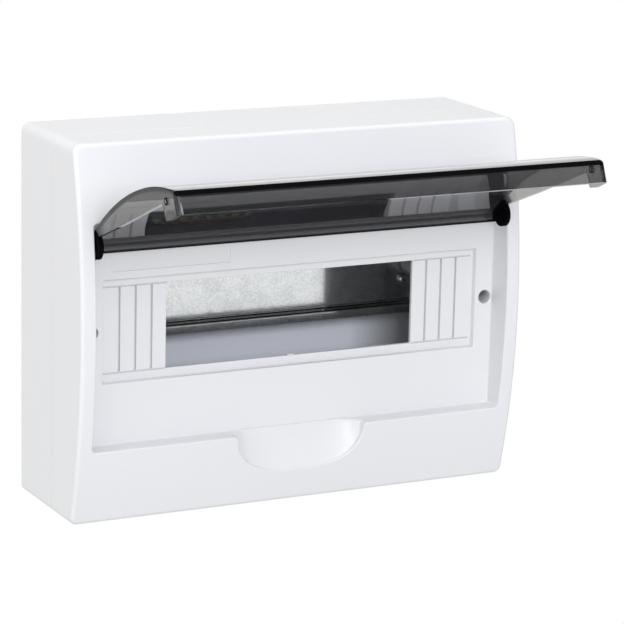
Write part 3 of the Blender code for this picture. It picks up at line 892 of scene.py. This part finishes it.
def din_rail(material):
    rail = prism("X", rail_section(), -RAIL_HALF_LENGTH, RAIL_HALF_LENGTH)
    slots = []
    for side in (-1, 1):
        slot = slot_outline(0, side * RAIL_SCREW_X, *RAIL_SLOT)
        slot = [(b, a) for a, b in reversed(slot)]
        slots.append(prism("Y", slot, 0, RAIL_BACK_Y - RAIL_SHEET - 1))
    boolean(rail, "DIFFERENCE", slots)
    shade(rail, 40)
    return finish_piece(rail, "din_rail_bent", material, "galvanised_steel", "box", "din_rail")


def cross_cutter(x, z, face_y, depth, arm):
    """A tapered cross for a screw's recess."""
    low, high = [], []
    half = arm * 0.2
    above = 0.5
    narrow, short = 0.45, 0.6
    for quarter_turns in range(4):
        turn = Matrix.Rotation(pi / 2 * quarter_turns, 2)
        for a, b in ((arm, -half), (arm, half), (half, half)):
            p = turn @ Vector((a, b))
            high.append((x + p.x, z + p.y))
            low.append((x + p.x * narrow, z + p.y * short))
    return skin("tool", [at_y(low, face_y + depth), at_y(high, face_y - above)])


def threads(shank, tip_y, seat_y):
    """(y, radius) pairs of a screw's point and of its threads, up to just under its head."""
    core = shank * 0.8
    pitch = shank * 0.55
    tip_radius = 0.15
    plain = 0.6
    y = tip_y - shank * 1.6
    pairs = [(tip_y, tip_radius), (y, core)]
    while y - pitch > seat_y + plain:
        pairs += [(y - pitch * 0.25, core), (y - pitch * 0.6, shank), (y - pitch, core)]
        y -= pitch
    return pairs + [(seat_y, core)]


def pan_screw(node, material, x, z, seat_y, tip_y, sizes):
    """A pan head screw with a domed head, a cross recess and threads."""
    shank, head, height = sizes
    rim, flat = 0.25, 0.45
    profile = [*threads(shank, tip_y, seat_y), (seat_y, head)]
    for up, out in quarter(8):
        profile.append((seat_y - height * mix(rim, 1, up), head * mix(flat, 1, out)))
    screw = turned(x, z, profile)
    boolean(screw, "DIFFERENCE", [cross_cutter(x, z, seat_y - height, height * 0.75, head * 0.52)])
    shade(screw)
    return finish_piece(screw, node + "_turned", material, "zinc_plate", "box", node)


def clamp_screw(node, material, x, z):
    """A slotted clamp screw."""
    seat = CLAMP_SEAT_Y
    top = seat - CLAMP_HEAD_HEIGHT
    shank, head = CLAMP_SCREW
    half_slot = 0.4
    profile = [(CLAMP_TIP_Y, shank - 0.5), (CLAMP_TIP_Y - 0.4, shank), (seat, shank),
               (seat, head - 0.15), (seat - 0.15, head), (top + 0.4, head), (top + 0.1, head - 0.2),
               (top, head - 0.5)]
    screw = turned(x, z, profile, 28)
    slot = block(x - 4, x + 4, top + 1, top - 1, z - half_slot, z + half_slot)
    boolean(screw, "DIFFERENCE", [slot])
    shade(screw)
    return finish_piece(screw, node + "_turned", material, "zinc_plate", "box", node)


def screws(material):
    """All the screws: two for the rail, two for the cover, and those of the terminal bars."""
    bars = (("neutral", BAR_Z), ("earth", -BAR_Z))
    for side, word in ((-1, "left"), (1, "right")):
        pan_screw(f"rail_screw_{word}", material, side * RAIL_SCREW_X, 0,
                  RAIL_BACK_Y - RAIL_SHEET - SEAM_GAP, RAIL_SCREW_TIP_Y, RAIL_SCREW)
        pan_screw(f"cover_screw_{word}", material, side * POCKET_X, 0,
                  POCKET_FLOOR_Y - SEAM_GAP, COVER_SCREW_TIP_Y, COVER_SCREW)
        for name, z in bars:
            pan_screw(f"{name}_holder_screw_{word}", material, side * HOLDER_SCREW_X, z,
                      HOLDER_SEAT_Y, HOLDER_SCREW_TIP_Y, HOLDER_SCREW)
    for name, z in bars:
        for i in range(CLAMP_SCREWS):
            x = (i - (CLAMP_SCREWS - 1) / 2) * CLAMP_PITCH
            clamp_screw(f"{name}_clamp_screw_{i + 1}", material, x, z)


# ---------------- materials

LENS_AXIS = (0.0, -cos(radians(DOOR_OPEN)), sin(radians(DOOR_OPEN)))
# The lens's tint, then painted light on the end walls and the lip, and painted shade on the hinge
# side with a painted lighter band at its low wall.
LENS_TINT = (0.10, 0.10, 0.112)
END_PAINTED_LIGHT = (0.74, 0.735, 0.72)
LIP_PAINTED_LIGHT = (0.32, 0.32, 0.333)
HINGE_PAINTED_SHADE = (0.12, 0.12, 0.135)
HINGE_PAINTED_LIGHT = (0.40, 0.40, 0.42)
# Painted shade: the black for the door's long edges, its ears and the nib rings, and how much of it
# is a matte black skin.
PAINTED_BLACK_TINT = (0.01, 0.01, 0.012)
PAINTED_BLACK_SOLID = (0.003, 0.003, 0.004)
PAINTED_BLACK_SHARE = 0.97
LET_THROUGH = (0.72, 0.72, 0.73)
ABSORPTION = (0.10, 0.095, 0.085)
ABSORPTION_DENSITY = 90.0
LENS_COAT = 0.7

# Where the door's tint and its painted light and shade change: distances in millimetres from a line
# along X, inner and outer.
HINGE_REACH = (12.0, 15.0)
EAR_REACH = (EAR_RADIUS + 2.0, EAR_RADIUS + 2.5)
NIB_OUTSIDE = (NIB[2], NIB[2] + 0.3)
NIB_INSIDE = (NIB[2] - 0.9, NIB[2] - 0.6)
FRONT_EDGE_REACH = (1.9, 2.3)
BACK_EDGE_REACH = (1.4, 1.7)
BACK_EDGE_DROP = 1.0
LOW_WALL_REACH = (0.8, 3.2)

# How far into an end wall the painted black at the ear and the nib reaches: where it ends and where
# it is full.
END_PAINTED_BLACK = (3.2, 2.8)

BOUNCE = 0.25
# Painted light: the back wall's inner face is lighter and bluer than the white plastic.
BACK_WALL_PAINTED_LIGHT = (0.86, 0.885, 0.94)
BACK_WALL_Y = (-4.0, -3.0)
INSIDE_Y = (FIELD_Y + 0.2, FIELD_Y + 0.4)

ZINC_LOW = (0.72, 0.76, 0.78)
ZINC_HIGH = (0.96, 0.98, 0.985)
# Painted shade for the faces of the rail that look up or down.
ZINC_PAINTED_SHADE = (0.20, 0.215, 0.22)
SPANGLE_SCALE = 1500.0


def set_inputs(tree, node, inputs):
    """Gives a node its inputs, which are values or other sockets."""
    for key, value in inputs.items():
        if isinstance(value, bpy.types.NodeSocket):
            tree.links.new(value, node.inputs[key])
        else:
            node.inputs[key].default_value = value


def add(tree, kind, inputs=None, **settings):
    """A shader node with its settings and its inputs."""
    node = tree.nodes.new(kind)
    for key, value in settings.items():
        setattr(node, key, value)
    set_inputs(tree, node, inputs or {})
    return node


def new_material(name):
    """A material, its tree, its Principled shader and the object's own coordinates."""
    result = bpy.data.materials.new(name)
    result.use_nodes = True
    tree = result.node_tree
    where = add(tree, "ShaderNodeTexCoord").outputs["Object"]
    return result, tree, tree.nodes["Principled BSDF"], where


def maths(tree, operation, *values, clamp=False):
    """The result of a sum on one, two or three values."""
    node = add(tree, "ShaderNodeMath", dict(enumerate(values)), operation=operation, use_clamp=clamp)
    return node.outputs[0]


def along(tree, vector, axis):
    """How far a vector points along an axis."""
    node = add(tree, "ShaderNodeVectorMath", {0: vector, 1: axis}, operation="DOT_PRODUCT")
    return node.outputs["Value"]


def axis_value(tree, where, axis):
    return add(tree, "ShaderNodeSeparateXYZ", {"Vector": where}).outputs[axis]


def noise(tree, where, scale, detail=2.0, roughness=0.5):
    return add(tree, "ShaderNodeTexNoise", {
        "Vector": where, "Scale": scale, "Detail": detail, "Roughness": roughness,
    }).outputs["Fac"]


def spread(tree, value, low, high, start=0.3, end=0.7):
    """A value's range from start to end, mapped to low to high."""
    return add(tree, "ShaderNodeMapRange", {
        "Value": value, "From Min": start, "From Max": end, "To Min": low, "To Max": high,
    }).outputs["Result"]


def colours(tree, value, low, high):
    """A mix of two colours, each a triple or a socket."""
    first, second = (c if isinstance(c, bpy.types.NodeSocket) else (*c, 1) for c in (low, high))
    node = add(tree, "ShaderNodeMix", {"Factor": value, 6: first, 7: second}, data_type="RGBA")
    return node.outputs[2]


def bump(tree, height, distance, strength=1.0, normal=None):
    inputs = {"Height": height, "Distance": distance, "Strength": strength}
    if normal:
        inputs["Normal"] = normal
    return add(tree, "ShaderNodeBump", inputs).outputs["Normal"]


def edge_mask(tree, radius):
    """1 where the surface turns within a radius, 0 on flat ground."""
    soft = add(tree, "ShaderNodeBevel", {"Radius": radius}, samples=4).outputs["Normal"]
    true = add(tree, "ShaderNodeNewGeometry").outputs["Normal"]
    return spread(tree, along(tree, soft, true), 1.0, 0.0, 0.8, 0.99)


def facing_axis(tree, normal, axis, start, end):
    """1 where the surface faces along an axis of the object, either way, and 0 across it."""
    return spread(tree, maths(tree, "ABSOLUTE", along(tree, normal, axis)), 0, 1, start, end)


def around(tree, where, place, reach):
    """1 within a distance of a line along X, and 0 beyond a larger one."""
    flat = add(tree, "ShaderNodeVectorMath", {0: where, 1: (0.0, 1.0, 1.0)}, operation="MULTIPLY")
    distance = add(tree, "ShaderNodeVectorMath", {
        0: flat.outputs["Vector"], 1: (0.0, place[0] * MM, place[1] * MM),
    }, operation="DISTANCE")
    return spread(tree, distance.outputs["Value"], 1, 0, reach[0] * MM, reach[1] * MM)


def opened(y, z):
    """Where a point of the closed door comes to when the door is open, seen from the side."""
    angle = radians(-DOOR_OPEN)
    dy, dz = y - HINGE[0], z - HINGE[1]
    new_y = HINGE[0] + dy * cos(angle) - dz * sin(angle)
    return (new_y, HINGE[1] + dy * sin(angle) + dz * cos(angle))


def back_wall_mask(tree, depth):
    """1 on the inner face of the back wall, where light is painted."""
    near = spread(tree, depth, 0, 1, BACK_WALL_Y[0] * MM, BACK_WALL_Y[1] * MM)
    normal = add(tree, "ShaderNodeTexCoord").outputs["Normal"]
    front_facing = spread(tree, along(tree, normal, (0.0, -1.0, 0.0)), 0, 1, 0.9, 0.95)
    return maths(tree, "MULTIPLY", near, front_facing)


def bounce_mask(tree, depth):
    """1 for light that has bounced and meets the plastic behind the window."""
    inside = spread(tree, depth, 0, 1, INSIDE_Y[0] * MM, INSIDE_Y[1] * MM)
    bounced = add(tree, "ShaderNodeLightPath").outputs["Is Diffuse Ray"]
    return maths(tree, "MULTIPLY", bounced, inside)


def moulded_plastic(name, low, high, roughness, grain=0.00002):
    """Satin moulded plastic: flow marks, a fine grain and edges that handling has polished, which are
    also painted a little lighter as a painted highlight.

    The back wall's inner face is painted lighter and a little bluer, painted light for what comes in
    through the window, and the inside of the box gives less bounced light.
    """
    result, tree, shader, where = new_material(name)
    edge = maths(tree, "MULTIPLY", edge_mask(tree, 0.0009), 0.35)
    depth = axis_value(tree, where, "Y")
    base = colours(tree, spread(tree, noise(tree, where, 11.0, 3.0), 0, 1), low, high)
    # Painted highlight: the edges are made a little lighter than the plastic.
    base = colours(tree, edge, base, tuple(min(c * 1.03, 1) for c in high))
    # Painted light on the back wall's inner face.
    base = colours(tree, back_wall_mask(tree, depth), base, BACK_WALL_PAINTED_LIGHT)
    base = colours(tree, bounce_mask(tree, depth), base, tuple(c * BOUNCE for c in low))
    rough = spread(tree, noise(tree, where, 60.0, 4.0), roughness - 0.04, roughness + 0.05)
    peel = bump(tree, noise(tree, where, 420.0, 2.0), 0.00004, 0.5)
    set_inputs(tree, shader, {
        "Base Color": base,
        "Roughness": maths(tree, "SUBTRACT", rough, edge, clamp=True),
        "Normal": bump(tree, noise(tree, where, 3800.0, 1.0), grain, 0.6, peel),
        "IOR": 1.5,
        "Specular IOR Level": 0.35,
    })
    return result


def painted_black_knob_mask(tree, where):
    """1 where the end walls are painted black at the ear and in a ring around the nib, a painted
    shade for their dark edges.
    """
    side = maths(tree, "ABSOLUTE", axis_value(tree, where, "X"))
    painted_black_depth = [(DOOR_HALF_WIDTH - depth) * MM for depth in END_PAINTED_BLACK]
    side = spread(tree, side, 0, 1, *painted_black_depth)
    nib = opened(NIB[0], NIB[1])
    outside = around(tree, where, nib, NIB_OUTSIDE)
    inside = around(tree, where, nib, NIB_INSIDE)
    painted_nib_ring = maths(tree, "SUBTRACT", outside, inside)
    knob = maths(tree, "MAXIMUM", around(tree, where, HINGE, EAR_REACH), painted_nib_ring)
    return maths(tree, "MULTIPLY", knob, side)


def painted_black_mask(tree, where):
    """1 where the door is painted black, a painted shade for the dark look of its knobs and its two
    long edges.
    """
    front = opened(door_y(DOOR_BOTTOM_Z), DOOR_BOTTOM_Z)
    back = opened(DOOR_TOP_BACK[0], DOOR_TOP_BACK[1] - BACK_EDGE_DROP)
    front = around(tree, where, front, FRONT_EDGE_REACH)
    back = around(tree, where, back, BACK_EDGE_REACH)
    return maths(tree, "MAXIMUM", painted_black_knob_mask(tree, where), maths(tree, "MAXIMUM", back, front))


def smoked_tint_with_painted_light(tree, where, lens, black_paint):
    """The door's tint with painted light and shade: the lens and the hinge side are the darkest, the
    hinge side by painted shade with a painted lighter band at its low wall, then the lip and the
    ends, which are painted lighter.
    """
    facing = add(tree, "ShaderNodeTexCoord").outputs["Normal"]
    end = facing_axis(tree, facing, (1.0, 0.0, 0.0), 0.8, 0.98)
    low_wall = around(tree, where, opened(*DOOR_TOP_BACK), LOW_WALL_REACH)
    hinge = colours(tree, low_wall, HINGE_PAINTED_SHADE, HINGE_PAINTED_LIGHT)
    base = colours(tree, end, LIP_PAINTED_LIGHT, END_PAINTED_LIGHT)
    base = colours(tree, lens, base, LENS_TINT)
    base = colours(tree, around(tree, where, HINGE, HINGE_REACH), base, hinge)
    return colours(tree, black_paint, base, PAINTED_BLACK_TINT)


def smoked_plastic():
    """Clear polished plastic with a grey tint that thickness deepens, and with light and shade
    painted into its tint.

    Part of the light that makes a shadow or that has bounced passes straight through. Its knobs and
    its long edges are painted black, a painted shade.
    """
    result, tree, shader, where = new_material("smoked_plastic_look")
    facing = add(tree, "ShaderNodeTexCoord").outputs["Normal"]
    lens = facing_axis(tree, facing, LENS_AXIS, 0.75, 0.93)
    black_paint = painted_black_mask(tree, where)
    set_inputs(tree, shader, {
        "Base Color": smoked_tint_with_painted_light(tree, where, lens, black_paint),
        "Transmission Weight": 1.0,
        "IOR": 1.5,
        "Coat Weight": maths(tree, "MULTIPLY", lens, LENS_COAT),
        "Coat Roughness": 0.01,
        "Roughness": spread(tree, noise(tree, where, 45.0, 4.0), 0.004, 0.02),
        "Normal": bump(tree, noise(tree, where, 60.0, 1.0), 0.00003, 0.3),
    })
    # Painted shade: a matte black where the door is painted black.
    solid = add(tree, "ShaderNodeBsdfDiffuse", {"Color": (*PAINTED_BLACK_SOLID, 1)})
    body = add(tree, "ShaderNodeMixShader", {
        "Fac": maths(tree, "MULTIPLY", black_paint, PAINTED_BLACK_SHARE), 1: shader.outputs[0], 2: solid.outputs[0],
    })
    path = add(tree, "ShaderNodeLightPath").outputs
    clear = add(tree, "ShaderNodeBsdfTransparent", {"Color": (*LET_THROUGH, 1)})
    both = add(tree, "ShaderNodeMixShader", {
        "Fac": maths(tree, "MAXIMUM", path["Is Shadow Ray"], path["Is Diffuse Ray"]),
        1: body.outputs[0], 2: clear.outputs[0],
    })
    tint = add(tree, "ShaderNodeVolumeAbsorption", {
        "Color": (*ABSORPTION, 1), "Density": ABSORPTION_DENSITY,
    })
    output = tree.nodes["Material Output"]
    tree.links.new(both.outputs[0], output.inputs["Surface"])
    tree.links.new(tint.outputs[0], output.inputs["Volume"])
    return result


def galvanised_steel():
    """A zinc coat with its fine spangle: crystals that differ a little in tone and in gloss. The
    faces that look up or down, the sides of the channel, get painted shade.
    """
    result, tree, shader, where = new_material("galvanised_steel_look")
    cells = add(tree, "ShaderNodeTexVoronoi", {"Vector": where, "Scale": SPANGLE_SCALE})
    tone = add(tree, "ShaderNodeSeparateColor", {"Color": cells.outputs["Color"]})
    streak = noise(tree, where, SPANGLE_SCALE, 4.0, 0.7)
    grey = maths(tree, "MULTIPLY", tone.outputs[0], streak)
    grey = maths(tree, "ADD", grey, noise(tree, where, 130.0, 3.0))
    base = colours(tree, spread(tree, grey, 0, 1, 0.4, 1.0), ZINC_LOW, ZINC_HIGH)
    normal = add(tree, "ShaderNodeTexCoord").outputs["Normal"]
    # Painted shade on the faces that look up or down.
    side = facing_axis(tree, normal, (0.0, 0.0, 1.0), 0.2, 0.7)
    facets = bump(tree, tone.outputs[2], 0.00002, 0.35)
    set_inputs(tree, shader, {
        "Base Color": colours(tree, side, base, ZINC_PAINTED_SHADE),
        "Roughness": spread(tree, tone.outputs[1], 0.06, 0.13, 0.0, 1.0),
        "Metallic": 1.0,
        "Normal": bump(tree, streak, 0.00001, 0.3, facets),
    })
    return result


def plated_metal(name, low, high, roughness):
    """Plated or drawn metal with tarnish in patches, fine marks and a painted highlight on its edges.
    """
    result, tree, shader, where = new_material(name)
    patches = noise(tree, where, 240.0, 4.0)
    base = colours(tree, spread(tree, patches, 0, 1), low, high)
    # Painted highlight: the edges are lighter.
    painted_highlight = tuple(min(c * 1.15, 1) for c in high)
    set_inputs(tree, shader, {
        "Base Color": colours(tree, edge_mask(tree, 0.0003), base, painted_highlight),
        "Roughness": spread(tree, patches, roughness + 0.1, roughness - 0.05),
        "Metallic": 1.0,
        "Normal": bump(tree, noise(tree, where, 2600.0, 3.0), 0.00002, 0.4),
    })
    return result


# ---------------- stage

CAMERA_PLACE = (-0.67871, -1.41060, 0.35901)
CAMERA_YAW = 27.144
CAMERA_PITCH = 13.3505
CAMERA_ROLL = 1.3281
CAMERA_LENS = 170.213


def camera():
    """A long lens from the left and a little above, as a catalogue picture has it."""
    yaw, pitch, roll = (radians(a) for a in (CAMERA_YAW, CAMERA_PITCH, CAMERA_ROLL))
    forward = Vector((sin(yaw) * cos(pitch), cos(yaw) * cos(pitch), -sin(pitch)))
    right = Vector((cos(yaw), -sin(yaw), 0))
    up = right.cross(forward)
    side = cos(roll) * right + sin(roll) * up
    top = cos(roll) * up - sin(roll) * right
    data = bpy.data.cameras.new("camera")
    data.lens = CAMERA_LENS
    data.sensor_width = 36.0
    data.clip_start = 0.05
    result = linked("camera", data)
    turn = Matrix((side, top, -forward)).transposed().to_4x4()
    result.matrix_world = Matrix.Translation(CAMERA_PLACE) @ turn
    bpy.context.scene.camera = result


def area_light(name, place, size, power):
    """A soft box that faces the front of the object."""
    data = bpy.data.lights.new(name, "AREA")
    data.shape = "RECTANGLE"
    data.size, data.size_y = size
    data.energy = power
    data.color = COOL
    turn = (Vector(LIGHT_AIM) - Vector(place)).to_track_quat("-Z", "Y").to_matrix().to_4x4()
    linked(name, data).matrix_world = Matrix.Translation(place) @ turn


# The surround: an even glow and lobes, each with its direction, its sharpness and its strength.
# They lie above, in front, left, right, behind, and low behind as a streak for the lens to mirror.
SKY_BASE = 0.03
SKY_LOBES = (
    ((0.0, 0.0, 1.0), 2.0, 1.31),
    ((0.0, -1.0, 0.0), 2.0, 0.05),
    ((-1.0, 0.0, 0.0), 2.0, 1.64),
    ((1.0, 0.0, 0.0), 2.0, 0.10),
    ((0.3, 1.0, 0.0), 12.0, 0.46),
    ((0.456, 0.889, 0.03), 60.0, 0.6),
)
COOL = (0.96, 0.98, 1.05)
FLOOR_SIZE = 6.0
FLOOR_GAP = 0.0005
FLOOR_GLOW = 0.76
FLOOR_FRONT_GLOW = 0.81
FLOOR_FADE = (-0.5, -0.28)
LIGHT_AIM = (0, -0.06, 0)
LIGHTS = (
    ("front_low", (-0.15, -1.3, 0.52), (0.7, 0.5), 9.09),
    ("front_high", (-0.2, -1.1, 1.2), (0.9, 0.6), 2.26),
)


def sky_strength(tree):
    """An even surround with a soft brighter side for each lobe."""
    where = add(tree, "ShaderNodeTexCoord").outputs["Generated"]
    total = SKY_BASE
    for axis, power, strength in SKY_LOBES:
        soft = maths(tree, "POWER", maths(tree, "MAXIMUM", along(tree, where, axis), 0.0), power)
        total = maths(tree, "MULTIPLY_ADD", soft, strength, total)
    return total


def floor_look():
    """White to the camera; to the rest it glows, a little less behind the object."""
    result, tree, shader, where = new_material("floor_look")
    glow = spread(tree, axis_value(tree, where, "Y"), FLOOR_FRONT_GLOW, FLOOR_GLOW, *FLOOR_FADE)
    seen = add(tree, "ShaderNodeLightPath").outputs["Is Camera Ray"]
    set_inputs(tree, shader, {
        "Base Color": (0, 0, 0, 1),
        "Roughness": 1.0,
        "Specular IOR Level": 0.0,
        "Emission Color": (1, 1, 1, 1),
        "Emission Strength": maths(tree, "MAXIMUM", glow, seen),
    })
    return result


def white_floor():
    """A plain pale floor just under the object."""
    floor_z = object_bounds()[0][2]
    bm = bmesh.new()
    bmesh.ops.create_grid(bm, x_segments=1, y_segments=1, size=FLOOR_SIZE)
    bmesh.ops.translate(bm, verts=bm.verts, vec=(0, 0, floor_z - FLOOR_GAP))
    floor = as_object("floor", bm)
    floor.data.materials.append(floor_look())
    floor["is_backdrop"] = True


def stage():
    """The floor, a bright even surround and soft boxes."""
    white_floor()
    world = bpy.data.worlds.new("world")
    world.use_nodes = True
    background = world.node_tree.nodes["Background"]
    background.inputs["Color"].default_value = (1, 1, 1, 1)
    world.node_tree.links.new(sky_strength(world.node_tree), background.inputs["Strength"])
    bpy.context.scene.world = world
    bpy.context.scene.view_settings.view_transform = "Standard"
    for light in LIGHTS:
        area_light(*light)


# ---------------- build

camera()
white = moulded_plastic("white_plastic_look", (0.762, 0.767, 0.775), (0.777, 0.781, 0.788), 0.36)
blue = moulded_plastic("blue_plastic_look", (0.04, 0.15, 0.46), (0.06, 0.19, 0.54), 0.42)
green = moulded_plastic("green_plastic_look", (0.06, 0.20, 0.075), (0.08, 0.25, 0.095), 0.42)
zinc = plated_metal("zinc_plate_look", (0.52, 0.53, 0.55), (0.72, 0.73, 0.74), 0.3)
brass = plated_metal("brass_look", (0.60, 0.45, 0.22), (0.80, 0.65, 0.38), 0.3)
front_cover(white)
rear_tray(white)
door(smoked_plastic())
din_rail(galvanised_steel())
screws(zinc)
for node, look in (
    ("neutral_bar", brass),
    ("earth_bar", brass),
    ("neutral_bar_holder", blue),
    ("earth_bar_holder", green),
):
    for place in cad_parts[node].material_slots:
        place.material = look
stage()

boxes = [[list(corner) for corner in box] for box in (cad_box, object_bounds())]
